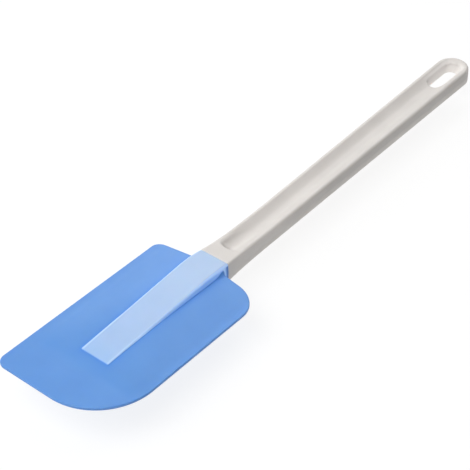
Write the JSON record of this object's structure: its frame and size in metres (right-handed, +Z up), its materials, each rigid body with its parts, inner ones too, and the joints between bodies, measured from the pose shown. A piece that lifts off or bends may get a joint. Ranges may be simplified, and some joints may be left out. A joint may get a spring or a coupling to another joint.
{
  "type": "silicone spatula",
  "caption": "Silicone spatula: a flexible blade with a square corner opposite a rounded one, pushed onto the tang of a slim, channelled plastic handle that ends in a hanging slot.",
  "frame": {"origin": "on the surface that the handle lies on, under the middle of the whole length and on the handle's centre line", "axes": "+Y from the blade's tip to the hanging end, +Z up, out of the face with the wedge's crest, +X to the side with the rounded tip corner"},
  "size_m": [0.069, 0.3432, 0.0129],
  "materials": {
    "handle": "satin moulded plastic, off-white",
    "blade": "smooth satin silicone, slightly translucent blue"
  },
  "bodies": {
    "handle": {"handle": "handle"},
    "blade": {"blade": "blade"},
    "blade_tip": {"blade_tip": "blade"}
  },
  "joints": [
    {"name": "blade_pull_off", "type": "slide", "parent": "handle", "child": "blade", "axis": [0, -0.9994, 0.0349], "range_m": [0, 0.095]},
    {"name": "tip_flex", "type": "hinge", "parent": "blade", "child": "blade_tip", "pos_m": [0, -0.14553, 0.00818], "axis": [-1, 0, 0], "range_deg": [-50, 50], "stiffness_Nm_per_rad": 0.05}
  ]
}
